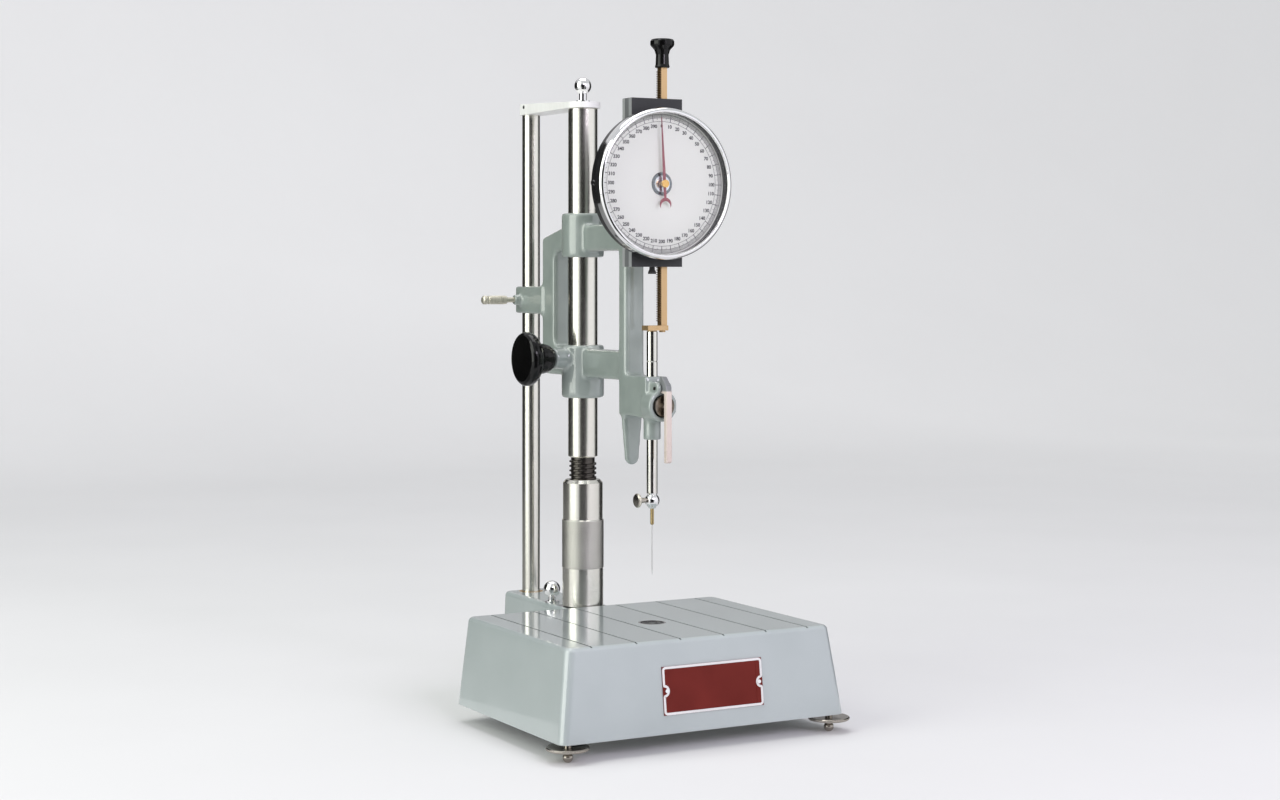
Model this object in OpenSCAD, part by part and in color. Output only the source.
// Bench penetrometer: a heavy base with three levelling feet, a lift column turned up and down by a
// knurled sleeve, and a sliding head that carries a dial, a rack and a plunger with its needle.
// X runs along the front, Y to the back and Z up. Everything is laid out from the column's axis.

/* [Base] */
// Width of the table top
table_w = 254; // [240:1:280]
// Flare of each side at the lower edge
skirt_side = 9.5; // [4:0.5:16]
// Distance from the column axis to the front edge of the table
table_reach = 216.5; // [190:0.5:240]
// Flare of the front at the lower edge
skirt_front = 8.5; // [4:0.5:16]
// Distance from the column axis forward to the back face of the table block
table_back = 20; // [16:0.5:26]
// Height of the casting
base_h = 75.5; // [66:0.5:95]
// Thickness of the table over the hollow
table_t = 9; // [8:0.5:14]
// Thickness of the walls round the hollow
base_wall = 9; // [7:0.5:12]
// Radius of the upright corners
corner_r = 8; // [6:0.5:12]
// Radius of the rounded upper rim
rim_r = 4; // [2:0.5:5]
// Number of grooves across the table
groove_n = 6; // [4:2:8]
// Distance between grooves
groove_pitch = 41.7; // [32:0.1:44]
// Width of a groove
groove_w = 1.6; // [0.8:0.1:3]
// Depth of a groove
groove_depth = 1; // [0.5:0.1:2]
// Width of the rear arm
arm_w = 46; // [40:0.5:60]
// Step from the table down to the top of the arm
arm_drop = 2.5; // [0:0.5:6]
// Metal behind the guide rod at the end of the arm
arm_end = 15; // [13:0.5:22]
// Draft of the arm's sides
arm_draft = 2; // [0:0.5:4]

/* [Name plate and level] */
// Width of the plate on the front face
plate_w = 96; // [60:1:120]
// Height of the plate
plate_h = 39.5; // [24:0.5:46]
// Thickness of the plate
plate_t = 1; // [0.6:0.1:2]
// Place of the plate to the right of the middle
plate_x = 6.4; // [-20:0.1:20]
// Diameter of the plate's drive pins
plate_pin_d = 2; // [1.5:0.1:3]
// Diameter of the round level in the table
level_d = 24.5; // [18:0.5:30]
// Depth of the level's cup
level_depth = 7; // [4:0.5:7.5]
// Wall of the level's cup
level_wall = 2; // [1:0.1:3]

/* [Levelling feet] */
// Distance of a front foot from the side's lower edge
foot_in_x = 10.5; // [9.5:0.5:12]
// Distance of a front foot from the front's lower edge
foot_in_y = 10; // [9:0.5:12]
// Diameter of the levelling stud
stud_d = 6.35; // [5:0.05:8]
// Length of the stud above its disc
stud_l = 22; // [16:0.5:26]
// Diameter of the thumb disc
disc_d = 35.6; // [26:0.1:40]
// Thickness of the thumb disc
disc_t = 2.6; // [2:0.1:5]
// Gap between the disc and the casting
disc_gap = 2.9; // [2.8:0.1:8]
// Diameter of the ball foot
ball_d = 8.6; // [7:0.1:12]
// Flat ground under the ball foot
ball_flat = 0.4; // [0.2:0.05:0.8]
// Neck between ball and disc
foot_neck = 1.8; // [1:0.1:4]
// Diameter of the foot's pin inside the stud
foot_pin_d = 3.4; // [2.5:0.1:3.6]

/* [Lift column] */
// Diameter of the polished column
column_d = 27; // [25:0.1:30]
// Length of the polished column
column_l = 319; // [300:1:360]
// Outside diameter of the lift thread
lift_d = 25; // [23:0.1:26]
// Pitch of the lift thread
lift_pitch = 4.233; // [3:0.001:5]
// Depth of the lift thread
lift_depth = 1.6; // [1:0.1:2]
// Length of thread that shows above the sleeve
thread_show = 20.5; // [18:0.5:30]
// Diameter of the screw's plain tail
tail_d = 20; // [16:0.1:20.5]
// Outside diameter of the adjusting sleeve
sleeve_d = 37.5; // [35:0.1:42]
// Height of the adjusting sleeve
sleeve_h = 116; // [110:0.5:130]
// Height of the knurled band above the arm
knurl_z = 35.3; // [20:0.1:50]
// Width of the knurled band
knurl_h = 44; // [30:0.5:55]
// Length of thread inside the sleeve
nut_l = 34; // [24:0.5:40]
// Outside diameter of the fixed spigot inside the sleeve
spigot_d = 29; // [27:0.1:31]
// Height of the spigot above the arm
spigot_h = 61.5; // [50:0.5:62]
// Depth of the spigot in the arm
spigot_seat = 36.5; // [24:0.5:40]
// Diameter of the guide rod
rod_d = 17; // [14:0.1:18]
// Distance of the guide rod behind the column
rod_y = 107; // [98:0.5:120]
// Length of the rod below the top of the arm
rod_tail = 22.5; // [18:0.5:24]
// Outside diameter of the bush in the arm
rod_bush_d = 23; // [21:0.1:26]
// Length of that bush
rod_bush_l = 27.5; // [15:0.5:30]
// Thickness of the bridge on the column
bridge_t = 5.5; // [4:0.1:8]
// Thickness of the bridge on the rod
bridge_rod_t = 10.5; // [9:0.1:14]
// Diameter of a ball-headed screw's ball
knob_ball_d = 15.6; // [12:0.1:18]
// Diameter of its shank
knob_shank_d = 7; // [5:0.1:8]
// Distance of the arm's ball-headed screw behind the column
arm_screw_y = 33; // [30:0.5:60]
// Distance of that screw left of the middle plane
arm_screw_x = 15; // [0:0.5:16]

/* [Head casting] */
// Height of the head above the lower end of the polished column
head_rise = 54; // [52:0.5:110]
// Diameter of the bosses on the column
boss_d = 39; // [37:0.5:46]
// Height of the lower boss
lower_boss_h = 48.5; // [46:0.5:60]
// Distance from the lower boss's foot up to the upper boss
upper_boss_z = 128.5; // [126:0.5:132]
// Height of the upper boss
upper_boss_h = 40.5; // [34:0.5:50]
// Thickness of the frame from left to right
limb_w = 17; // [16.2:0.1:22]
// Underside of the lower limb
lower_limb_z = 19.7; // [12:0.1:24]
// Height of the lower limb
lower_limb_h = 25.8; // [25:0.1:28]
// Underside of the upper limb
upper_limb_z = 134; // [131:0.5:136]
// Height of the upper limb
upper_limb_h = 24; // [18:0.5:32]
// Distance from the column axis to the front face of the bar
bar_reach = 99.3; // [92:0.1:104]
// Thickness of the bar from front to back
bar_t = 12.9; // [9:0.1:18]
// Distance from the column axis back to the web's inner face
web_y = 43; // [36:0.5:48]
// Thickness of the web from front to back
web_t = 25; // [16:0.5:28]
// Radius of the window's corners
window_r = 8; // [4:0.5:12]
// Width of the lug on the guide rod
lug_w = 23; // [22:0.1:30]
// Height of the lug
lug_h = 26; // [20:0.5:34]
// Height of the lug's middle above the lower boss's foot
lug_z = 88.5; // [80:0.5:100]
// Length of the finger tongue below the plunger guide
tongue_l = 44; // [30:0.5:52]
// Thickness of the finger tongue
tongue_t = 6; // [4:0.1:9]

/* [Clamp and thumb screws] */
// Diameter of the black clamp knob
clamp_d = 49; // [38:0.5:56]
// Length of the clamp knob along its axis
clamp_l = 31.5; // [30:0.5:40]
// Diameter of the clamp stud
clamp_stud_d = 9.5; // [7:0.1:11]
// Distance from the column axis to the end of the clamp boss
clamp_face = 31.5; // [27:0.1:34]
// Height of the clamp axis above the lower boss's foot
clamp_z = 36.5; // [32:0.1:37]
// Diameter of the guide thumb screw's head
thumb_d = 8; // [6:0.1:11]
// Length of its head
thumb_l = 25.5; // [16:0.5:28]
// Diameter of its thread
thumb_thread_d = 5; // [4:0.1:6]

/* [Dial and gear housing] */
// Height of the housing's underside above the lower boss's foot
housing_z = 119.7; // [116:0.1:124]
// Height of the housing
housing_h = 145.3; // [140:0.1:156]
// Width of the housing
housing_w = 50; // [46:0.5:60]
// Thickness of the back plate
back_t = 4.3; // [4:0.1:6]
// Thickness of the front plate
front_t = 5.2; // [4:0.1:6]
// Height of the dial centre above the lower boss's foot
dial_z = 191; // [189:0.5:194]
// Outside diameter of the dial case
case_d = 128; // [116:0.5:140]
// Depth of the dial case
case_depth = 12; // [11:0.1:14]
// Wall of the dial case
case_wall = 2.7; // [2:0.1:4]
// Depth of the dial face below the rim of the case
face_drop = 4.2; // [2:0.1:5]
// Thickness of the glass
glass_t = 1.5; // [1:0.1:2.5]
// Height of the gasket under the glass
gasket_h = 3.3; // [3:0.1:5]
// Width of the bezel outside the case
bezel_w = 1.2; // [0.8:0.1:3]
// Pointer length from its centre to the tip
pointer_l = 57; // [40:0.5:58]
// Turn of the pointer at rest, seen from the front
pointer_turn = -3; // [-10:0.5:10]
// Diameter of the pinion's arbor
arbor_d = 4; // [3:0.1:5]

/* [Rack and plunger] */
// Distance of the plunger ahead of the column axis
plunger_y = 129.3; // [128:0.1:136]
// Diameter of the plunger
plunger_d = 9.5; // [8:0.1:9.6]
// Height of the plunger's top above the lower boss's foot
plunger_top = 64.5; // [60:0.5:72]
// Length of the plunger above the chuck
plunger_l = 140.5; // [136:0.5:150]
// Tooth pitch of the rack
rack_pitch = 2; // [1.8:0.01:2.1]
// Teeth on the pinion
pinion_n = 20; // [18:1:22]
// Thickness of the rack from front to back
rack_t = 6.6; // [5:0.1:8]
// Width of the rack behind its teeth
rack_w = 6; // [5:0.1:8]
// Length of the rack above its foot
rack_l = 223.3; // [216:0.1:240]
// Thickness of the rack's foot
foot_t = 4.3; // [3:0.1:6]
// Diameter of the rack knob
rack_knob_d = 21; // [16:0.5:26]
// Height of the rack knob
rack_knob_h = 25.2; // [20:0.1:32]
// Diameter of the chuck
chuck_d = 13; // [12:0.1:16]
// Diameter of the chuck screw's disc
chuck_disc_d = 12; // [9:0.1:15]
// Diameter of the needle's ferrule
ferrule_d = 3.2; // [3:0.05:3.6]
// Length of the ferrule below the chuck
ferrule_l = 14.3; // [8:0.1:24]
// Diameter of the needle
needle_d = 1; // [0.8:0.05:1.3]
// Length of the needle below the ferrule
needle_l = 43.5; // [40:0.5:44]

/* [Release] */
// Diameter of the release boss
release_d = 27.5; // [26:0.1:32]
// Distance from the plunger axis to the front of the release boss
release_reach = 19.7; // [19.5:0.1:23]
// Outside diameter of the clutch spring
spring_d = 17.8; // [17.5:0.1:18.2]
// Diameter of the spring wire
spring_wire = 1.2; // [0.8:0.1:1.3]
// Coils in the spring
spring_n = 4; // [3:1:4]
// Width of the release lever
lever_w = 5.4; // [5.2:0.1:8.4]
// Thickness of the lever's blade
lever_t = 5; // [3:0.1:6]
// Length of the lever below its pin
lever_l = 63.8; // [50:0.1:70]
// Diameter of the lever's pin
pin_d = 3; // [2:0.1:4]

/* [Fits] */
// Radial clearance of sliding and turning fits
run_fit = 0.05; // [0.02:0.01:0.1]
// Radial clearance of pieces that stay put
seat_fit = 0.02; // [0.01:0.01:0.05]
// Gap between flat faces that pass or bear on each other
face_gap = 0.1; // [0.05:0.01:0.2]
// Free space beside pieces that must not rub
free_gap = 0.3; // [0.2:0.05:0.5]

/* [Hidden] */
$fn = 64;

// Heights, from the floor up
disc_z = ball_d - ball_flat + foot_neck;
base_z = disc_z + disc_t + disc_gap;
table_z = base_z + base_h;
arm_top = table_z - arm_drop;
sleeve_top = arm_top + sleeve_h;
column_z = sleeve_top + thread_show;
column_top = column_z + column_l;
head_z = column_z + head_rise;

// Plan: the origin lies under the middle of the whole machine's outline
skirt_w = table_w + 2 * skirt_side;
skirt_reach = table_reach + skirt_front;
foot_x = skirt_w / 2 - foot_in_x;
foot_y = skirt_reach - foot_in_y;
foot_reach = foot_y + disc_d / 2;
arm_reach = rod_y + arm_end;
back_reach = max(arm_reach + arm_draft, rod_y + disc_d / 2);
column_y = (foot_reach - back_reach) / 2;
foot_places = [[-foot_x, -foot_y], [foot_x, -foot_y], [0, rod_y]];

// The drafted front face of the base
skirt_rim = 1;
draft_low = base_z + skirt_rim;
draft_high = table_z - rim_r;
front_slope = (skirt_reach - table_reach) / (draft_high - draft_low);
front_tilt = atan(front_slope);
plate_z = base_z + base_h * 0.46;
plate_pin_in = 3.4;
plate_pin_l = 5;

// Feet
foot_shoulder_d = stud_d;
foot_pin_l = 9;
stud_top = disc_z + disc_t + stud_l;
stud_hole_top = stud_top + 4.5;

// Lift
lift_root_d = lift_d - 2 * lift_depth;
tenon_d = 0.6 * column_d;
tenon_l = 22;
rod_tenon_d = 0.65 * rod_d;
bridge_column_r = 16;
bridge_rod_r = rod_d / 2 + 2.3;
rod_clamp_r = 1.9;
rod_clamp_turn = 30;
sleeve_foot = arm_top + face_gap;
nut_z = sleeve_top - nut_l;
spigot_foot = arm_top - spigot_seat;
spigot_top = arm_top + spigot_h;
tail_foot = spigot_foot + 14;
thread_foot = spigot_top + 14;
thread_steps = 18;
rod_foot = arm_top - rod_tail;
rod_well_l = 20;
rod_well = rod_foot - rod_well_l;
knob_flange_d = 13;
knob_flange_t = 1.5;
knob_neck_l = 6.8;
arm_neck_l = 3.8;
knob_shank_l = 8;

// Head, measured from the lower boss's foot
upper_limb_top = upper_limb_z + upper_limb_h;
lower_limb_top = lower_limb_z + lower_limb_h;
web_back = web_y + web_t;
bar_back = bar_reach - bar_t;
bar_w = limb_w + 3.1;
bar_edge_r = 3.5;
bar_top = upper_limb_z + 4;
guide_w = bar_w;
guide_top = 25;
guide_foot = -10.5;
guide_front = plunger_y + 6.7;
collar_d = 15;
collar_foot = -30;
lug_back = rod_y + lug_w / 2;
thumb_boss_d = 10.4;
thumb_boss_end = lug_w / 2 + 8;
thumb_neck_l = 6.5;
tongue_front = bar_reach - 3.7;
tongue_w = 20;
tongue_tip_w = 13;
flange_w = 30;
flange_t = 10;
flange_h = 78;
flange_screw_x = 11.6;
flange_screw_d = 3;

// Clamp
clamp_pad_l = 6;
clamp_pad_end = column_d / 2 + run_fit;
clamp_stud_start = clamp_pad_end + clamp_pad_l + face_gap;
clamp_stud_end = clamp_face + 0.5 * clamp_l;
clamp_rim_r = 5.5;
clamp_hub_r = 14;
clamp_hub_l = 16.2;
clamp_hub_flat = 2.8;
clamp_hub_end_r = 7.5;
clamp_boss_d = clamp_stud_d + 9.5;

// Housing stack, front to back about the plunger's plane
rail_t = rack_t + 2 * 0.2;
back_y = -plunger_y + rail_t / 2;
front_y = -plunger_y - rail_t / 2;
back_face = back_y + back_t;
case_back = front_y - front_t;
stack_screw_d = 3;
stack_screw_in = 6;
stop_d = 7;
stop_h = 6.1;

// Gearing: one turn of the pointer for each pitch line length of the pinion
pitch_r = rack_pitch * pinion_n / (2 * PI);
pressure_angle = 20;
tooth_gap = 0.2;
addendum = 0.55 * rack_pitch / 2;
dedendum = 0.8 * rack_pitch / 2;
half_tooth = rack_pitch / 4 - tooth_gap / 2;
pinion_r = pitch_r + addendum;
rack_tip_x = pitch_r - addendum;
rack_root_x = pitch_r + dedendum;
rack_back_x = rack_root_x + rack_w;
rack_x = (rack_root_x + rack_back_x) / 2;
rack_foot_z = plunger_top + 0.2;
rack_z = rack_foot_z + foot_t + seat_fit;
rack_top = rack_z + rack_l;
rack_side = 0.2;
rack_tenon_d = 5.6;
rack_tenon_l = 12;
rack_foot_w = 11;
rack_foot_left = 7;
foot_screw_d = 3.2;

// Dial, measured along Y from the back of the case forward
case_r = case_d / 2;
case_floor = 2;
bezel_screw_y = case_back - 4;
case_rim = case_back - case_depth;
face_front = case_rim + face_drop;
face_t = 1;
ledge_w = 4.3;
bush_d = 9;
bush_flange_d = 20;
bush_flange_t = 0.8;
bush_crown_d = 15;
bush_crown_t = 1.5;
bush_edge = 0.4;
glass_back = case_rim - gasket_h;
glass_front = glass_back - glass_t;
pointer_t = 0.5;
pointer_eye_r = 3;
pointer_root = 1.5;
pointer_tip = 0.35;
pointer_tail = 12;
pointer_tail_w = 1;
moon_r = 5.6;
moon_w = 3;
moon_tip = 0.8;
hub_d = 6.8;
hub_front = glass_back + 0.25;
hub_t = 1.9;
arbor_front = hub_front + 0.7;

// Plunger and needle, measured from the lower boss's foot
chuck_top = plunger_top - plunger_l;
chuck_mid = chuck_top - chuck_d / 2;
chuck_foot = chuck_mid - 6.7;
chuck_seat = 2.6;
ferrule_top = chuck_top - chuck_seat - 0.4;
ferrule_foot = chuck_foot - ferrule_l;
needle_foot = ferrule_foot - needle_l;
needle_seat = 8;
chuck_screw_z = chuck_mid + 0.6;

// Release, about the plunger's axis
release_front = -plunger_y - release_reach;
release_bore_d = spring_d + 1.4;
release_floor = -guide_front - 2;
release_z = 0.2;
yoke_w = 12;
yoke_h = 6.4;
yoke_eye_w = plunger_d + 0.5;
yoke_stroke = 2.2;
yoke_back = -plunger_y + plunger_d / 2 + 2.9;
cap_d = release_bore_d - 2 * free_gap;
cap_t = 4.3;
cap_front = release_front - 2.8;
cap_back = cap_front + cap_t;
pin_y = -plunger_y - 17.4;
pin_z = 15.4;
lever_eye_r = 4.2;
lever_back = cap_front - 2.7;
lever_front = lever_back - lever_t;
lever_foot = pin_z - lever_l;
lever_nub_r = 2.55;
lever_shoulder = 4.5;
lever_crown = 10.2;
lever_crown_t = 4;
lever_bend = 3;
lever_toe = 1.5;
lever_neck = 2;
ear_w = 4;
ear_r = 5.5;
ear_gap = lever_w / 2 + 0.4;

// A box from its lowest and highest values on each axis
module box(x, y, z) {
  translate([x[0], y[0], z[0]]) cube([x[1] - x[0], y[1] - y[0], z[1] - z[0]]);
}

// A round bar along X, Y or Z between two places
module bar_x(r, x0, x1) {
  translate([x0, 0, 0]) rotate([0, 90, 0]) cylinder(r = r, h = x1 - x0);
}

module bar_y(r, y0, y1) {
  translate([0, y0, 0]) rotate([-90, 0, 0]) cylinder(r = r, h = y1 - y0);
}

module bar_z(r, z0, z1) {
  translate([0, 0, z0]) cylinder(r = r, h = z1 - z0);
}

// A turned piece about X, Y or Z from its radius and place profile
module turned_x(profile) {
  rotate([0, 90, 0]) rotate_extrude() polygon(profile);
}

module turned_y(profile) {
  rotate([-90, 0, 0]) rotate_extrude() polygon(profile);
}

module turned_z(profile) {
  rotate_extrude() polygon(profile);
}

// A flat outline drawn in X and Z, given thickness along Y from y0 to y1
module slab_y(y0, y1) {
  translate([0, y1, 0]) rotate([90, 0, 0]) linear_extrude(y1 - y0) children();
}

// A flat outline drawn in Y and Z, given thickness along X from x0 to x1
module slab_x(x0, x1) {
  translate([x0, 0, 0]) rotate([90, 0, 90]) linear_extrude(x1 - x0) children();
}

function arc(cx, cy, r, a0, a1, n = 12) =
  [for (i = [0 : n]) let (a = a0 + (a1 - a0) * i / n) [cx + r * cos(a), cy + r * sin(a)]];

// Places: the column's axis on the floor, and the lower boss's foot on that axis
module at_column() {
  translate([0, column_y, 0]) children();
}

module at_head() {
  translate([0, column_y, head_z]) children();
}

module at_dial() {
  translate([0, 0, dial_z]) children();
}

// Base casting
function front_at(z) = -skirt_reach + front_slope * (z - draft_low);

module corner_post(r, e, h) {
  rotate_extrude($fn = 32)
    polygon(concat([[0, 0], [r, 0]], arc(r - e, h - e, e, 0, 90, 5), [[0, h]]));
}

// A drafted block with rounded corners and upper rim
module drafted_block(top_w, foot_w, top_y, foot_y, z0, z1, r, e) {
  hull() {
    for (s = [-1, 1]) {
      for (k = [0, 1]) {
        inward = k == 0 ? r : -r;
        translate([s * (top_w / 2 - r), top_y[k] + inward, z1 - e - skirt_rim])
          corner_post(r, e, e + skirt_rim);
        translate([s * (foot_w / 2 - r), foot_y[k] + inward, z0])
          cylinder(r = r, h = skirt_rim, $fn = 32);
      }
    }
  }
}

module table_grooves() {
  for (i = [0 : groove_n - 1]) {
    x = (i - (groove_n - 1) / 2) * groove_pitch;
    box([x - groove_w / 2, x + groove_w / 2], [-skirt_reach, -table_back + 1],
        [table_z - groove_depth, table_z + 1]);
  }
}

// Children drawn flat on the drafted front face, at the middle of the plate
module on_front() {
  translate([plate_x, front_at(plate_z), plate_z]) rotate([-front_tilt, 0, 0]) children();
}

module at_plate_pins() {
  for (s = [-1, 1]) {
    translate([s * (plate_w / 2 - plate_pin_in), 0, 0]) children();
  }
}

module base_casting() {
  color("#b4c0be")
  difference() {
    union() {
      drafted_block(table_w, skirt_w, [-table_reach, -table_back], [-skirt_reach, -table_back],
                    base_z, table_z, corner_r, rim_r);
      drafted_block(arm_w, arm_w + 2 * arm_draft, [-table_back - 2 * corner_r, arm_reach],
                    [-table_back - 2 * corner_r, arm_reach + arm_draft], base_z, arm_top, corner_r, rim_r);
    }
    // Hollow under the table and pocket under the arm
    box([-table_w / 2 + base_wall, table_w / 2 - base_wall],
        [-table_reach + base_wall, -table_back - base_wall], [base_z - 1, table_z - table_t]);
    box([-arm_w / 2 + base_wall, arm_w / 2 - base_wall],
        [spigot_d / 2 + base_wall, rod_y - rod_bush_d / 2 - base_wall], [base_z - 1, arm_top - table_t]);
    table_grooves();
    translate([0, -plunger_y, 0]) bar_z(level_d / 2 + seat_fit, table_z - level_depth, table_z + 1);
    bar_z(spigot_d / 2 + seat_fit, spigot_foot, arm_top + 1);
    translate([0, rod_y, 0]) {
      bar_z(rod_bush_d / 2 + seat_fit, arm_top - rod_bush_l, arm_top + 1);
      bar_z(rod_d / 2 + free_gap, rod_well, arm_top);
    }
    for (p = foot_places) {
      translate([p[0], p[1], 0]) bar_z(stud_d / 2 + run_fit, base_z - 1, stud_hole_top);
    }
    on_front() at_plate_pins() bar_y(plate_pin_d / 2 + seat_fit, -1, plate_pin_l);
    translate([-arm_screw_x, arm_screw_y, 0])
      bar_z(knob_shank_d / 2 + seat_fit, arm_top - table_t - 1, arm_top + 1);
  }
}

// A bare plate with a raised border, on the front face
module name_plate() {
  border = 2;
  color("#7c3330")
  on_front() difference() {
    box([-plate_w / 2, plate_w / 2], [-plate_t - seat_fit, -seat_fit], [-plate_h / 2, plate_h / 2]);
    box([-plate_w / 2 + 3 * border, plate_w / 2 - 3 * border], [-2 * plate_t, -0.75 * plate_t],
        [-plate_h / 2 + border, plate_h / 2 - border]);
    at_plate_pins() bar_y(plate_pin_d / 2 + seat_fit, -2 * plate_t, 1);
  }
}

module plate_pins() {
  color("silver")
  on_front() at_plate_pins() {
    bar_y(plate_pin_d / 2, -plate_t - seat_fit, plate_pin_l - face_gap);
    bar_y(plate_pin_d * 0.8, -plate_t - seat_fit - 0.7, -plate_t - seat_fit);
  }
}

module level_cup() {
  color("darkkhaki")
  translate([0, -plunger_y, 0]) difference() {
    bar_z(level_d / 2, table_z - level_depth, table_z);
    bar_z(level_d / 2 - level_wall, table_z - level_depth + level_wall, table_z + 1);
  }
}

module level_glass() {
  color("lightcyan", 0.6)
  translate([0, -plunger_y, 0])
    bar_z(level_d / 2 - level_wall - seat_fit, table_z - level_depth + level_wall, table_z - 0.4);
}

module column_spigot() {
  color("gray")
  difference() {
    bar_z(spigot_d / 2, spigot_foot, spigot_top);
    bar_z(tail_d / 2 + run_fit, spigot_foot - 1, spigot_top + 1);
  }
}

module rod_bush() {
  color("peru")
  translate([0, rod_y, 0]) difference() {
    bar_z(rod_bush_d / 2, arm_top - rod_bush_l, arm_top);
    bar_z(rod_d / 2 + run_fit, arm_top - rod_bush_l - 1, arm_top + 1);
  }
}

// A screw with a ball head on a short neck, standing on z = 0
module ball_screw(neck) {
  ball_z = knob_flange_t + neck + knob_ball_d / 2 - 1;
  bar_z(knob_flange_d / 2, 0, knob_flange_t);
  bar_z(knob_shank_d / 2, -knob_shank_l, ball_z);
  translate([0, 0, ball_z]) sphere(d = knob_ball_d);
}

module arm_ball_screw() {
  color("gainsboro") translate([-arm_screw_x, arm_screw_y, arm_top]) ball_screw(arm_neck_l);
}

// Levelling feet: a ball that stands still and a stud that turns on its pin
module level_foot(i) {
  color("silver")
  translate([foot_places[i][0], foot_places[i][1], 0]) {
    intersection() {
      translate([0, 0, ball_d / 2 - ball_flat]) sphere(d = ball_d);
      bar_z(ball_d, 0, ball_d);
    }
    bar_z(foot_shoulder_d / 2, ball_d / 2 + 1, disc_z - face_gap);
    bar_z(foot_pin_d / 2, ball_d / 2, disc_z + foot_pin_l);
  }
}

module level_screw(i) {
  color("gainsboro")
  translate([foot_places[i][0], foot_places[i][1], 0]) difference() {
    union() {
      turned_z([[0, disc_z], [disc_d / 2 - 0.6, disc_z], [disc_d / 2, disc_z + 0.6],
                [disc_d / 2, disc_z + disc_t - 0.6], [disc_d / 2 - 0.6, disc_z + disc_t],
                [0, disc_z + disc_t]]);
      bar_z(stud_d / 2, disc_z + disc_t / 2, stud_top);
    }
    bar_z(foot_pin_d / 2 + run_fit, disc_z - 1, disc_z + foot_pin_l + face_gap);
  }
}

// Lift: a sleeve that turns on the spigot, and the screw that it raises
module adjusting_sleeve() {
  r = sleeve_d / 2;
  waist = 0.5;
  color("lightgray")
  turned_z([
    [spigot_d / 2 + run_fit, sleeve_foot], [r - 1, sleeve_foot], [r, sleeve_foot + 1],
    [r, arm_top + knurl_z + knurl_h], [r - waist, arm_top + knurl_z + knurl_h + waist],
    [r - waist, sleeve_top - 3], [r - 3, sleeve_top], [lift_d / 2 + run_fit, sleeve_top],
    [lift_d / 2 + run_fit, nut_z], [spigot_d / 2 + run_fit, nut_z]
  ]);
}

// One thread ridge: a trapezium carried round a helix
function thread_section(z, a) =
  [for (p = [[-0.5, -0.36], [lift_depth, -0.16], [lift_depth, 0.16], [-0.5, 0.36]])
    [(lift_root_d / 2 + p[0]) * cos(a), (lift_root_d / 2 + p[0]) * sin(a), z + p[1] * lift_pitch]];

module thread_ridge(z0, z1) {
  n = floor((z1 - z0) / lift_pitch * thread_steps);
  points = [for (i = [0 : n]) each thread_section(z0 + i * lift_pitch / thread_steps, i * 360 / thread_steps)];
  sides = [for (i = [0 : n - 1], k = [0 : 3])
    let (a = 4 * i + k, b = 4 * i + (k + 1) % 4)
    each [[a, b, b + 4], [a, b + 4, a + 4]]];
  caps = [[2, 1, 0], [3, 2, 0], [4 * n, 4 * n + 1, 4 * n + 2], [4 * n, 4 * n + 2, 4 * n + 3]];
  polyhedron(points, concat(sides, caps));
}

module lift_screw() {
  color("dimgray")
  union() {
    bar_z(tail_d / 2, tail_foot, thread_foot + 1);
    bar_z(lift_root_d / 2, thread_foot, column_z - seat_fit);
    bar_z(tenon_d / 2, thread_foot, column_z + tenon_l);
    thread_ridge(thread_foot + lift_pitch, column_z - 0.7 * lift_pitch);
  }
}

module column() {
  r = column_d / 2;
  color("silver")
  difference() {
    turned_z([[0, column_z], [r - 1, column_z], [r, column_z + 1], [r, column_top - 0.8],
              [r - 0.8, column_top], [0, column_top]]);
    bar_z(tenon_d / 2 + seat_fit, column_z - 1, column_z + tenon_l + face_gap);
    bar_z(knob_shank_d / 2 + seat_fit, column_top - knob_shank_l, column_top + 1);
  }
}

module guide_rod() {
  color("silver")
  translate([0, rod_y, 0]) {
    turned_z([[0, rod_foot], [rod_d / 2 - 1, rod_foot], [rod_d / 2, rod_foot + 1],
              [rod_d / 2, column_top - seat_fit], [rod_tenon_d / 2, column_top - seat_fit],
              [rod_tenon_d / 2, column_top + bridge_rod_t - 1.5], [0, column_top + bridge_rod_t - 1.5]]);
  }
}

module bridge() {
  clamp_h = column_top + 0.68 * bridge_rod_t;
  color("whitesmoke")
  difference() {
    hull() {
      translate([0, 0, column_top]) cylinder(r = bridge_column_r, h = bridge_t, $fn = 48);
      translate([0, rod_y, column_top]) cylinder(r = bridge_rod_r, h = bridge_rod_t, $fn = 48);
    }
    bar_z(knob_shank_d / 2 + seat_fit, column_top - 1, column_top + 3 * bridge_t);
    translate([0, rod_y, 0]) bar_z(rod_tenon_d / 2 + seat_fit, column_top - 1, column_top + 2 * bridge_rod_t);
    translate([0, rod_y, clamp_h]) rotate([0, 0, rod_clamp_turn])
      bar_x(rod_clamp_r, -2 * bridge_rod_r, -rod_tenon_d / 2);
    bar_seat();
  }
}

// Flat under the column's ball-headed screw
module bar_seat() {
  bar_z(knob_flange_d / 2 + free_gap, column_top + bridge_t, column_top + 3 * bridge_t);
}

module column_ball_screw() {
  color("gainsboro")
  translate([0, 0, column_top + bridge_t]) {
    ball_screw(knob_neck_l);
  }
}

module rod_clamp_screw() {
  clamp_h = column_top + 0.68 * bridge_rod_t;
  color("#222222")
  translate([0, rod_y, clamp_h]) rotate([0, 0, rod_clamp_turn]) difference() {
    bar_x(rod_clamp_r - seat_fit, -bridge_rod_r - 1, -rod_tenon_d / 2 - seat_fit);
    translate([-bridge_rod_r - 1.5, 0, 0]) rotate([0, 90, 0]) cylinder(r = 1, h = 2, $fn = 6);
  }
}

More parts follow.
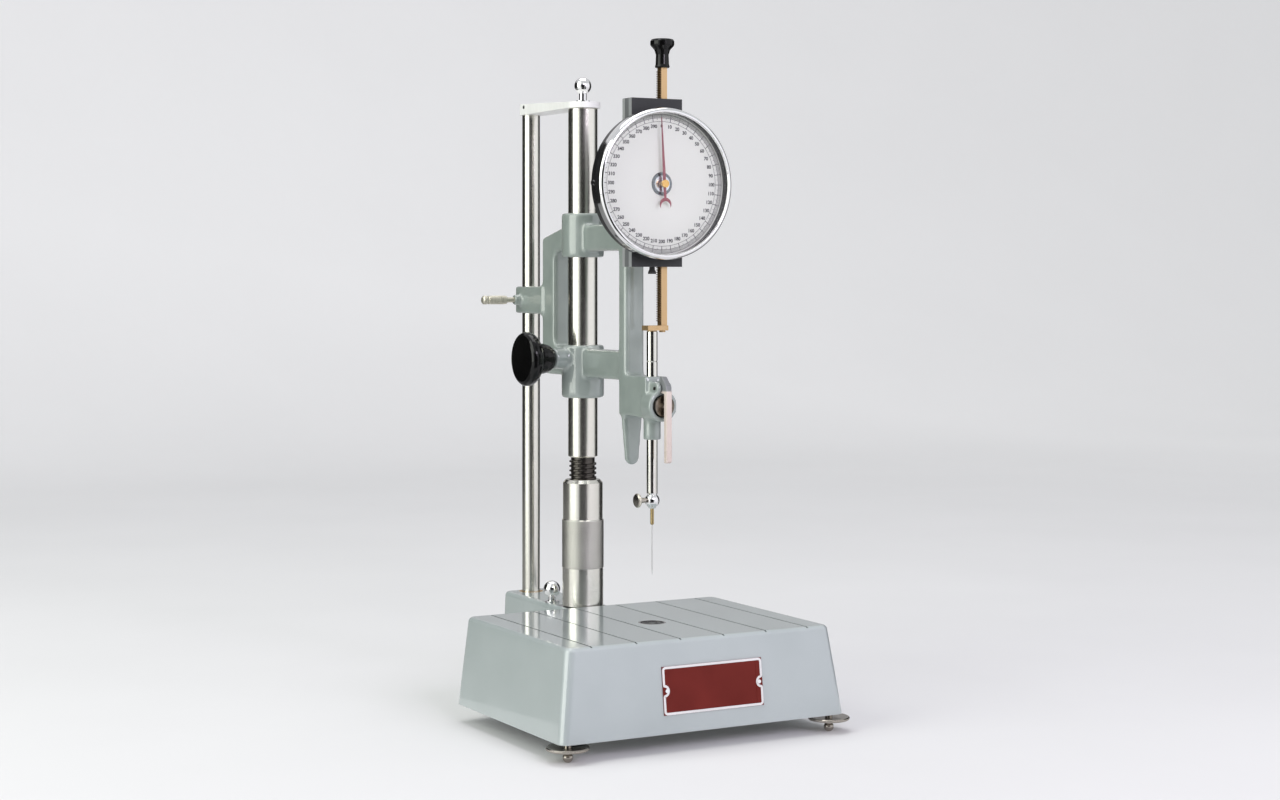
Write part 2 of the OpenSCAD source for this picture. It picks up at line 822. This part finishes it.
// Head casting
module head_frame() {
  shoulder = upper_limb_top - 11;
  difference() {
    slab_x(-limb_w / 2, limb_w / 2) polygon([
      [-bar_reach + bar_edge_r, lower_limb_z], [web_back - 8, lower_limb_z], [web_back, lower_limb_z + 8],
      [web_back, shoulder], [20, upper_limb_top], [-bar_back + 20, upper_limb_top],
      [back_face + flange_t / 2, upper_limb_top + 12], [back_face + flange_t / 2, housing_z + 3],
      [-bar_reach + bar_edge_r, housing_z + 3]
    ]);
    head_window();
  }
}

// The front bar, a little wider than the frame, with rounded front edges
module front_bar() {
  x = bar_w / 2 - bar_edge_r;
  z = [guide_foot, bar_top];
  for (s = [-x, x]) {
    translate([s, -bar_reach + bar_edge_r, 0]) bar_z(bar_edge_r, z[0], z[1]);
  }
  box([-x, x], [-bar_reach, -bar_back], z);
  box([-bar_w / 2, bar_w / 2], [-bar_reach + bar_edge_r, -bar_back], z);
}

// The window round the column, with rounded corners
module head_window() {
  y = [-bar_back, web_y];
  z = [lower_limb_top, upper_limb_z];
  x = [-limb_w, limb_w];
  box(x, [y[0] + window_r, y[1] - window_r], z);
  box(x, y, [z[0] + window_r, z[1] - window_r]);
  for (cy = [y[0] + window_r, y[1] - window_r], cz = [z[0] + window_r, z[1] - window_r]) {
    translate([0, cy, cz]) bar_x(window_r, x[0], x[1]);
  }
}

module finger_tongue() {
  tip = guide_foot - tongue_l;
  r = tongue_tip_w / 2;
  slab_y(-tongue_front, -tongue_front + tongue_t)
    polygon(concat([[guide_w / 2, 0], [-guide_w / 2, 0], [-tongue_w / 2, guide_foot]],
                   arc(0, tip + r, r, 180, 360, 16), [[tongue_w / 2, guide_foot]]));
}

module lever_ears() {
  for (s = [-1, 1]) {
    x0 = s > 0 ? ear_gap : -ear_gap - ear_w;
    translate([0, pin_y, pin_z]) bar_x(ear_r, x0, x0 + ear_w);
    box([x0, x0 + ear_w], [pin_y, -guide_front + 1], [pin_z - ear_r, pin_z + ear_r]);
  }
}

module head_body() {
  cylinder(d = boss_d, h = lower_boss_h);
  bar_z(boss_d / 2, upper_boss_z, upper_boss_z + upper_boss_h);
  head_frame();
  front_bar();
  box([-flange_w / 2, flange_w / 2], [back_face, back_face + flange_t], [housing_z + 3, housing_z + 3 + flange_h]);
  box([-guide_w / 2, guide_w / 2], [-guide_front, -bar_back], [guide_foot, guide_top]);
  translate([0, -plunger_y, 0]) bar_z(collar_d / 2, collar_foot, guide_foot + 1);
  translate([0, 0, release_z]) bar_y(release_d / 2, release_front, -plunger_y - 2);
  lever_ears();
  finger_tongue();
  box([-lug_w / 2, lug_w / 2], [web_back - 6, lug_back], [lug_z - lug_h / 2, lug_z + lug_h / 2]);
  translate([0, rod_y, lug_z]) bar_x(thumb_boss_d / 2, -thumb_boss_end, -lug_w / 2 + 1);
  translate([0, 0, clamp_z]) bar_x(clamp_boss_d / 2, -clamp_face, -column_d / 2);
}

module at_flange_screws() {
  for (x = [-flange_screw_x, flange_screw_x], z = [0.14, 0.86]) {
    translate([x, 0, housing_z + 3 + z * flange_h]) children();
  }
}

module head_casting() {
  color("#a9b7b4")
  difference() {
    head_body();
    bar_z(column_d / 2 + run_fit, -1, upper_boss_z + upper_boss_h + 1);
    translate([0, rod_y, 0]) bar_z(rod_d / 2 + run_fit, lug_z - lug_h, lug_z + lug_h);
    translate([0, 0, clamp_z]) bar_x(clamp_stud_d / 2 + run_fit, -clamp_face - 1, 0);
    translate([0, rod_y, lug_z]) bar_x(thumb_thread_d / 2 + run_fit, -thumb_boss_end - 1, 0);
    translate([0, -plunger_y, 0]) bar_z(plunger_d / 2 + run_fit, collar_foot - 1, guide_top + 1);
    // Release: spring bore, slot for the yoke, slot for the lever's eye, pin hole
    translate([0, 0, release_z]) {
      bar_y(release_bore_d / 2, release_front - 1, release_floor);
      box([-yoke_w / 2 - free_gap, yoke_w / 2 + free_gap], [release_floor - 1, yoke_back + yoke_stroke + 0.6],
          [-yoke_h / 2 - free_gap, yoke_h / 2 + free_gap]);
    }
    box([-ear_gap, ear_gap], [release_front - 9, pin_y + lever_eye_r + 2], [pin_z - lever_eye_r - 0.6, guide_top + 1]);
    translate([0, pin_y, pin_z]) bar_x(pin_d / 2 + seat_fit, -2 * guide_w, 2 * guide_w);
    at_flange_screws() bar_y(flange_screw_d / 2 + seat_fit, back_face - 1, back_face + flange_t + 1);
  }
}

// Clamp knob, stud and pad, along -X at the lower boss
module clamp_knob() {
  r = clamp_d / 2;
  x = -clamp_face - face_gap - 0.2;
  face = x - clamp_l;
  rim = face + clamp_rim_r + 0.4;
  hub = x - clamp_hub_l;
  dome = hub + clamp_hub_flat;
  bore = clamp_stud_d / 2 + seat_fit;
  color("#181818")
  translate([0, 0, clamp_z]) difference() {
    turned_x(concat(
      [[0, face], [r - clamp_rim_r - 1, face + 0.4]],
      arc(r - clamp_rim_r, rim, clamp_rim_r, -76, 0, 8),
      [for (a = [15 : 15 : 90]) [clamp_hub_r + (r - clamp_hub_r) * cos(a), rim + (hub - rim) * sin(a)]],
      [for (a = [0 : 15 : 75])
        [clamp_hub_end_r + (clamp_hub_r - clamp_hub_end_r) * cos(a), dome + (x - dome) * sin(a)]],
      [[clamp_hub_end_r, x], [0, x]]));
    bar_x(bore, -clamp_stud_end - face_gap, x + 1);
  }
}

module clamp_stud() {
  color("silver")
  translate([0, 0, clamp_z]) bar_x(clamp_stud_d / 2, -clamp_stud_end, -clamp_stud_start);
}

module clamp_pad() {
  color("goldenrod")
  translate([0, 0, clamp_z]) bar_x(clamp_stud_d / 2, -clamp_pad_end - clamp_pad_l, -clamp_pad_end);
}

module guide_thumbscrew() {
  r = thumb_d / 2;
  t = thumb_thread_d / 2;
  tip = -rod_d / 2 - 2 * run_fit;
  neck = -thumb_boss_end - thumb_neck_l;
  color("khaki")
  translate([0, rod_y, lug_z]) turned_x([
    [0, neck - thumb_l], [r - 1, neck - thumb_l], [r, neck - thumb_l + 1], [r, neck - thumb_l + 5],
    [r - 0.6, neck - thumb_l + 5.6], [r, neck - thumb_l + 6.2], [r, neck - 0.8], [r - 0.8, neck],
    [t, neck], [t, tip], [0, tip]
  ]);
}

// Gear housing: two plates with the rails between them
module at_stack_screws() {
  for (x = [-housing_w / 2 + stack_screw_in - 1, housing_w / 2 - stack_screw_in + 1],
       z = [stack_screw_in, housing_h - stack_screw_in]) {
    translate([x, 0, housing_z + z]) children();
  }
}

module housing_slab(y0, y1, x0, x1) {
  box([x0, x1], [y0, y1], [housing_z, housing_z + housing_h]);
}

module housing_back() {
  color("#5c6062")
  difference() {
    housing_slab(back_y, back_face - seat_fit, -housing_w / 2, housing_w / 2);
    at_stack_screws() bar_y(stack_screw_d / 2 + seat_fit, back_y - 1, back_face + 1);
    at_dial() bar_y(arbor_d / 2 + run_fit, back_y - 1, back_face - 1);
    at_flange_screws() bar_y(flange_screw_d / 2 + seat_fit, back_face - 3.4, back_face + 1);
  }
}

module housing_rails() {
  color("#8b9090")
  difference() {
    union() {
      housing_slab(front_y + seat_fit, back_y - seat_fit, -housing_w / 2, rack_tip_x - rack_side);
      housing_slab(front_y + seat_fit, back_y - seat_fit, rack_back_x + rack_side, housing_w / 2);
    }
    at_dial() bar_y(pinion_r + free_gap, front_y - 1, back_y + 1);
    at_stack_screws() bar_y(stack_screw_d / 2 + seat_fit, front_y - 1, back_y + 1);
  }
}

module housing_front() {
  color("#2c2e30")
  difference() {
    housing_slab(case_back + seat_fit, front_y, -housing_w / 2, housing_w / 2);
    at_dial() bar_y(arbor_d / 2 + run_fit, case_back - 1, front_y + 1);
    at_stack_screws() bar_y(stack_screw_d / 2 + seat_fit, front_y - 3.4, front_y + 1);
  }
}

module housing_screws() {
  color("#333333")
  at_stack_screws() {
    bar_y(stack_screw_d / 2, front_y - 3.2, back_face);
    bar_y(stack_screw_d * 0.9, back_face, back_face + 2);
  }
}

module flange_screws() {
  head = back_face + flange_t;
  color("#333333")
  at_flange_screws() {
    bar_y(flange_screw_d / 2, back_face - 3.2, head);
    bar_y(flange_screw_d * 0.85, head, head + 2);
  }
}

module rack_stop() {
  color("#1c1c1c")
  translate([0, -plunger_y, housing_z - seat_fit])
    turned_z([[0, 0], [0.33 * stop_d, 0], [0.36 * stop_d, -0.4 * stop_h], [stop_d / 2, -0.7 * stop_h],
              [stop_d / 2, -stop_h], [0, -stop_h]]);
}

// Dial: case, face, gasket, glass and bezel
module dial_case() {
  inner = case_r - case_wall;
  hole = bush_d / 2 + seat_fit;
  floor_y = case_back - case_floor;
  ledge = face_front + face_t;
  color("#151515")
  at_dial() difference() {
    turned_y([[hole, case_back], [case_r, case_back], [case_r, case_rim], [inner, case_rim], [inner, ledge],
              [inner - ledge_w, ledge], [inner - ledge_w, floor_y], [hole, floor_y]]);
    translate([0, bezel_screw_y, 0]) bar_x(1.6 + seat_fit, -case_r - 1, -inner + 2);
  }
}

module dial_face() {
  color("white")
  at_dial() turned_y([[bush_d / 2 + seat_fit, face_front], [case_r - case_wall - seat_fit, face_front],
                      [case_r - case_wall - seat_fit, face_front + face_t - seat_fit],
                      [bush_d / 2 + seat_fit, face_front + face_t - seat_fit]]);
}

module dial_gasket() {
  color("#3a3a3a")
  at_dial() turned_y([[case_r - case_wall, case_rim - seat_fit], [case_r - 0.1, case_rim - seat_fit],
                      [case_r - 0.1, glass_back + seat_fit], [case_r - case_wall, glass_back + seat_fit]]);
}

module dial_glass() {
  color("azure", 0.3)
  at_dial() bar_y(case_r - 0.1, glass_front, glass_back);
}

module dial_bezel() {
  inside = case_r + seat_fit;
  outside = inside + bezel_w;
  lip = glass_front - seat_fit;
  color("gainsboro")
  at_dial() turned_y([
    [inside, case_rim + 3], [outside, case_rim + 3], [outside, lip - 0.2], [outside - 0.8, lip - 1.3],
    [outside - 1.8, lip - 1.8], [outside - 2.8, lip - 1.5], [inside - 3.4, lip], [inside, lip]
  ]);
}

module bezel_screw() {
  color("silver")
  at_dial() translate([0, bezel_screw_y, 0]) {
    bar_x(1.6, -case_r - 0.1, -case_r + case_wall + 1.5);
    bar_x(2.4, -case_r - 1.5, -case_r - 0.05);
  }
}

module arbor_bush() {
  crown = face_front - bush_crown_t;
  rim = face_front - bush_flange_t;
  color("slategray")
  at_dial() turned_y([
    [arbor_d / 2 + run_fit, crown], [bush_crown_d / 2 - bush_edge, crown], [bush_crown_d / 2, crown + bush_edge],
    [bush_crown_d / 2, rim], [bush_flange_d / 2 - bush_edge, rim], [bush_flange_d / 2, rim + bush_edge],
    [bush_flange_d / 2, face_front - seat_fit], [bush_d / 2, face_front - seat_fit],
    [bush_d / 2, case_back - seat_fit], [arbor_d / 2 + run_fit, case_back - seat_fit]
  ]);
}

// Pinion: involute flanks on a round root
function involute(a) = tan(a) - a * PI / 180;
base_r = pitch_r * cos(pressure_angle);
function flank(r) =
  (half_tooth / pitch_r + involute(pressure_angle) - involute(acos(min(1, base_r / r)))) * 180 / PI;
function polar(r, a) = [r * cos(a), r * sin(a)];
flank_radii = [pitch_r - dedendum, base_r, (base_r + pitch_r) / 2, pitch_r, pinion_r];

module pinion_outline() {
  step = 360 / pinion_n;
  rise = [for (r = flank_radii) [r, -flank(max(r, base_r))]];
  fall = [for (i = [len(rise) - 1 : -1 : 0]) [rise[i][0], -rise[i][1]]];
  polygon([for (k = [0 : pinion_n - 1]) each [for (p = concat(rise, fall)) polar(p[0], p[1] + (k + 0.5) * step)]]);
}

module pinion_arbor() {
  color("darkgoldenrod")
  at_dial() {
    bar_y(arbor_d / 2, arbor_front, back_face - 1.2);
    slab_y(front_y + rack_side, back_y - rack_side) pinion_outline();
  }
}

module at_pointer() {
  at_dial() rotate([0, pointer_turn, 0]) children();
}

// A slim tapered pointer with a crescent on its tail
module pointer() {
  back = hub_front + hub_t + seat_fit;
  front = back + pointer_t;
  sunk = pointer_tail + moon_w / 2;
  color("#b0283a")
  at_pointer() difference() {
    union() {
      slab_y(back, front) polygon([
        [-pointer_root, 0], [-pointer_tip, pointer_l], [pointer_tip, pointer_l], [pointer_root, 0],
        [pointer_tail_w, -sunk], [-pointer_tail_w, -sunk]
      ]);
      bar_y(pointer_eye_r, back, front);
      translate([0, 0, -pointer_tail - moon_r]) difference() {
        bar_y(moon_r, back, front);
        translate([0, 0, moon_tip - moon_w]) bar_y(moon_r - moon_tip, back - pointer_t, front + pointer_t);
      }
    }
    bar_y(arbor_d / 2 + seat_fit, back - pointer_t, front + pointer_t);
  }
}

module pointer_hub() {
  color("goldenrod")
  at_pointer() difference() {
    bar_y(hub_d / 2, hub_front, hub_front + hub_t);
    bar_y(arbor_d / 2 + seat_fit, arbor_front - seat_fit, hub_front + hub_t + 1);
  }
}

// Rack, with its teeth towards the pinion
module rack_outline() {
  half_tip = half_tooth - addendum * tan(pressure_angle);
  half_root = half_tooth + dedendum * tan(pressure_angle);
  low = ceil((rack_z + rack_pitch - dial_z) / rack_pitch);
  high = floor((rack_top - rack_pitch - dial_z) / rack_pitch);
  teeth = [for (k = [high : -1 : low]) let (z = dial_z + k * rack_pitch) each
    [[rack_root_x, z + half_root], [rack_tip_x, z + half_tip], [rack_tip_x, z - half_tip],
     [rack_root_x, z - half_root]]];
  polygon(concat([[rack_back_x, rack_z], [rack_back_x, rack_top], [rack_root_x, rack_top]], teeth,
                 [[rack_root_x, rack_z]]));
}

module rack() {
  color("#c79a5b")
  difference() {
    union() {
      slab_y(-plunger_y - rack_t / 2, -plunger_y + rack_t / 2) rack_outline();
      translate([rack_x, -plunger_y, 0]) bar_z(rack_tenon_d / 2, rack_top - 1, rack_top + rack_tenon_l);
    }
    translate([rack_x, -plunger_y, 0]) bar_z(foot_screw_d / 2 + seat_fit, rack_z - 1, rack_z + 9);
  }
}

module rack_knob() {
  r = rack_knob_d / 2;
  z = rack_top + seat_fit;
  h = rack_knob_h;
  color("#161616")
  translate([rack_x, -plunger_y, z]) difference() {
    turned_z([[0, 0], [0.56 * r, 0], [0.62 * r, 1], [0.56 * r, 3], [0.53 * r, 0.45 * h], [0.66 * r, 0.62 * h],
              [0.95 * r, 0.75 * h], [r, 0.8 * h], [r, 0.92 * h], [0.9 * r, 0.98 * h], [0.72 * r, h], [0, h]]);
    bar_z(rack_tenon_d / 2 + seat_fit, -1, rack_tenon_l + face_gap);
  }
}

module rack_foot() {
  color("#c8a75e")
  difference() {
    box([-rack_foot_left, rack_back_x], [-plunger_y - rack_foot_w / 2, -plunger_y + rack_foot_w / 2],
        [rack_foot_z, rack_foot_z + foot_t]);
    translate([rack_x, -plunger_y, 0])
      bar_z(foot_screw_d / 2 + seat_fit, rack_foot_z - 1, rack_foot_z + foot_t + 1);
  }
}

module foot_screw() {
  color("#6b4a20")
  translate([rack_x, -plunger_y, 0]) {
    bar_z(foot_screw_d / 2, rack_foot_z - 1, rack_z + 8.5);
    bar_z(foot_screw_d * 0.85, rack_foot_z - 1.6, rack_foot_z - seat_fit);
  }
}

// Plunger, chuck and needle
module plunger() {
  r = plunger_d / 2;
  mark = guide_top + 13;
  color("whitesmoke")
  translate([0, -plunger_y, 0]) turned_z([
    [0, chuck_top - chuck_seat], [0.6 * r, chuck_top - chuck_seat], [0.6 * r, chuck_top + seat_fit],
    [r, chuck_top + seat_fit], [r, mark - 0.6], [r - 0.4, mark], [r, mark + 0.6], [r, plunger_top - 0.8],
    [r - 0.8, plunger_top], [0, plunger_top]
  ]);
}

module needle_chuck() {
  r = chuck_d / 2;
  color("lightgray")
  translate([0, -plunger_y, 0]) difference() {
    turned_z(concat(
      [[0, chuck_foot], [0.45 * r, chuck_foot]], arc(0, chuck_mid, r, -56, 50, 12),
      [[0.73 * r, chuck_top], [0, chuck_top]]));
    bar_z(0.3 * plunger_d + seat_fit, chuck_top - chuck_seat - face_gap, chuck_top + 1);
    bar_z(ferrule_d / 2 + seat_fit, chuck_foot - 1, chuck_top);
    translate([0, 0, chuck_screw_z]) bar_x(1.5 + seat_fit, -chuck_d, 0);
  }
}

module chuck_screw() {
  r = chuck_disc_d / 2;
  disc = -chuck_d / 2 - 6.5;
  color("tan")
  translate([0, -plunger_y, chuck_screw_z]) turned_x([
    [0, disc - 3.2], [r - 0.8, disc - 3], [r, disc - 2.2], [r, disc - 0.6], [r - 0.6, disc], [2.6, disc],
    [2.2, -chuck_d / 2 - 0.6], [1.5, -chuck_d / 2 - 0.6], [1.5, -ferrule_d / 2 - run_fit],
    [0, -ferrule_d / 2 - run_fit]
  ]);
}

module needle_ferrule() {
  r = ferrule_d / 2;
  color("#9b8f6a")
  translate([0, -plunger_y, 0]) difference() {
    turned_z([[0, ferrule_foot], [0.6 * r, ferrule_foot], [r, ferrule_foot + 1], [r, ferrule_top],
              [0, ferrule_top]]);
    bar_z(needle_d / 2 + seat_fit, ferrule_foot - 1, ferrule_foot + needle_seat);
  }
}

module needle() {
  r = needle_d / 2;
  color("silver")
  translate([0, -plunger_y, 0]) turned_z([
    [0, needle_foot], [0.15 * r, needle_foot], [r, needle_foot + 6.5],
    [r, ferrule_foot + needle_seat - face_gap], [0, ferrule_foot + needle_seat - face_gap]
  ]);
}

// Release lever, its pin, the yoke that grips the plunger and the spring that draws it tight
module release_lever() {
  color("#d8c2bd")
  difference() {
    union() {
      slab_x(-lever_w / 2, lever_w / 2) polygon([
        [lever_front, lever_foot + lever_toe], [lever_front + lever_toe, lever_foot], [lever_back, lever_foot],
        [lever_back, pin_z - lever_shoulder], [pin_y - lever_neck, pin_z - lever_eye_r], [pin_y, pin_z],
        [pin_y, pin_z + lever_crown], [pin_y - lever_crown_t, pin_z + lever_crown],
        [lever_front + lever_neck, pin_z + lever_bend], [lever_front, pin_z - lever_bend]
      ]);
      translate([0, pin_y, pin_z]) bar_x(lever_eye_r, -lever_w / 2, lever_w / 2);
      translate([0, cap_front - free_gap - lever_nub_r, release_z]) sphere(r = lever_nub_r);
    }
    translate([0, pin_y, pin_z]) bar_x(pin_d / 2 + run_fit, -lever_w, lever_w);
  }
}

module lever_pin() {
  reach = ear_gap + ear_w + 0.8;
  color("dimgray") translate([0, pin_y, pin_z]) bar_x(pin_d / 2, -reach, reach);
}

module clutch_yoke() {
  grip = -plunger_y + plunger_d / 2 + run_fit;
  clear = -plunger_y - plunger_d / 2 - yoke_stroke - 1;
  color("#5b4d3f")
  translate([0, 0, release_z]) difference() {
    union() {
      bar_y(cap_d / 2, cap_front, cap_back);
      box([-yoke_w / 2, yoke_w / 2], [cap_back - 1, yoke_back], [-yoke_h / 2, yoke_h / 2]);
    }
    box([-yoke_eye_w / 2, yoke_eye_w / 2], [clear, grip], [-yoke_h, yoke_h]);
  }
}

// Spring: one unbroken round wire, with closed ends cut short of its seats
spring_r = spring_d / 2 - spring_wire / 2;
spring_y0 = cap_back + spring_wire / 2 + face_gap;
spring_y1 = release_floor - spring_wire / 2 - face_gap;
spring_rings = 8;
spring_sides = 6;
function spring_point(i) =
  let (n = spring_n * spring_rings, a = 360 * i / spring_rings)
  [spring_r * cos(a), spring_y0 + (spring_y1 - spring_y0) * i / n, spring_r * sin(a)];
spring_line = [for (i = [0 : spring_n * spring_rings]) spring_point(i)];
spring_self_gap = min([for (i = [0 : len(spring_line) - 1], j = [i + spring_rings - 1 : 1 : len(spring_line) - 1])
  norm(spring_line[j] - spring_line[i])]) - spring_wire;

module clutch_spring() {
  n = len(spring_line) - 1;
  points = [for (i = [0 : n], k = [0 : spring_sides - 1])
    let (a = 360 * i / spring_rings, b = 360 * k / spring_sides, out = spring_wire / 2 * cos(b))
    spring_line[i] + [out * cos(a), spring_wire / 2 * sin(b), out * sin(a)]];
  sides = [for (i = [0 : n - 1], k = [0 : spring_sides - 1])
    let (a = spring_sides * i + k, b = spring_sides * i + (k + 1) % spring_sides)
    each [[a, b, b + spring_sides], [a, b + spring_sides, a + spring_sides]]];
  caps = [for (k = [1 : spring_sides - 2]) each
    [[0, k + 1, k], [spring_sides * n, spring_sides * n + k, spring_sides * n + k + 1]]];
  echo("least gap between the spring's coils", spring_self_gap);
  color("gray") translate([0, 0, release_z]) polyhedron(points, concat(sides, caps));
}

at_column() base_casting();
at_column() name_plate();
at_column() plate_pins();
at_column() level_cup();
at_column() level_glass();
at_column() column_spigot();
at_column() rod_bush();
at_column() arm_ball_screw();
at_column() level_foot(0);  // level_foot_1
at_column() level_foot(1);  // level_foot_2
at_column() level_foot(2);  // level_foot_3
at_column() level_screw(0);  // level_screw_1
at_column() level_screw(1);  // level_screw_2
at_column() level_screw(2);  // level_screw_3
at_column() adjusting_sleeve();
at_column() lift_screw();
at_column() column();
at_column() guide_rod();
at_column() bridge();
at_column() column_ball_screw();
at_column() rod_clamp_screw();
at_head() head_casting();
at_head() clamp_knob();
at_head() clamp_stud();
at_head() clamp_pad();
at_head() guide_thumbscrew();
at_head() housing_back();
at_head() housing_rails();
at_head() housing_front();
at_head() housing_screws();
at_head() flange_screws();
at_head() rack_stop();
at_head() dial_case();
at_head() dial_face();
at_head() dial_gasket();
at_head() dial_glass();
at_head() dial_bezel();
at_head() bezel_screw();
at_head() arbor_bush();
at_head() pinion_arbor();
at_head() pointer();
at_head() pointer_hub();
at_head() rack();
at_head() rack_knob();
at_head() rack_foot();
at_head() foot_screw();
at_head() plunger();
at_head() needle_chuck();
at_head() chuck_screw();
at_head() needle_ferrule();
at_head() needle();
at_head() release_lever();
at_head() lever_pin();
at_head() clutch_yoke();
at_head() clutch_spring();
